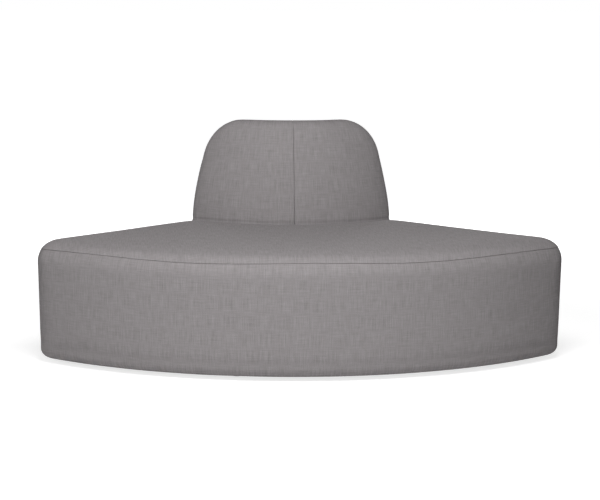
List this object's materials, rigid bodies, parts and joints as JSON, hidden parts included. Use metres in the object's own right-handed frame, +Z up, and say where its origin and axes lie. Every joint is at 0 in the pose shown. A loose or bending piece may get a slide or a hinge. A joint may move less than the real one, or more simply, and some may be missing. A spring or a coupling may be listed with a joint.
{
  "type": "curved sofa",
  "caption": "Quarter-round upholstered sofa: a wedge seat with an outward curved front, straight ends and a curved, round-shouldered back at its narrow rear end.",
  "frame": {"origin": "middle of the overall box, on the floor", "axes": "+Z up, the curved front faces -Y, +X to the right of someone looking at the front"},
  "size_m": [1.8639, 1.1058, 0.806],
  "materials": {
    "plywood": "raw birch plywood",
    "bending_plywood": "raw bending plywood",
    "foam": "open-cell upholstery foam",
    "cover_fabric": "matte grey-taupe plain weave",
    "dust_cloth": "black non-woven cloth",
    "webbing": "elastic webbing",
    "steel": "zinc plated",
    "glide_plastic": "matte moulded"
  },
  "bodies": {
    "root": {"base_plate": "plywood", "seat_deck": "plywood", "left_rib": "plywood", "centre_rib": "plywood", "right_rib": "plywood", "left_end_rib": "plywood", "right_end_rib": "plywood", "back_top_rail": "plywood", "glue_blocks": "plywood", "front_panel": "bending_plywood", "back_front_board": "bending_plywood", "back_rear_board": "bending_plywood", "seat_foam_core": "foam", "seat_foam_topper": "foam", "front_foam": "foam", "left_end_foam": "foam", "right_end_foam": "foam", "seat_rear_foam": "foam", "back_front_foam": "foam", "back_rear_foam": "foam", "seat_top_cover": "cover_fabric", "seat_front_cover": "cover_fabric", "seat_left_end_cover": "cover_fabric", "seat_right_end_cover": "cover_fabric", "seat_rear_cover": "cover_fabric", "back_front_left_cover": "cover_fabric", "back_front_right_cover": "cover_fabric", "back_rear_cover": "cover_fabric", "dust_cover": "dust_cloth", "webbing_radial": "webbing", "webbing_cross": "webbing", "deck_screws": "steel", "rail_screws": "steel", "glide_screws": "steel", "ganging_inserts": "steel", "front_left_glide": "glide_plastic", "front_right_glide": "glide_plastic", "front_inner_left_glide": "glide_plastic", "front_inner_right_glide": "glide_plastic", "rear_left_glide": "glide_plastic", "rear_right_glide": "glide_plastic"}
  },
  "joints": []
}
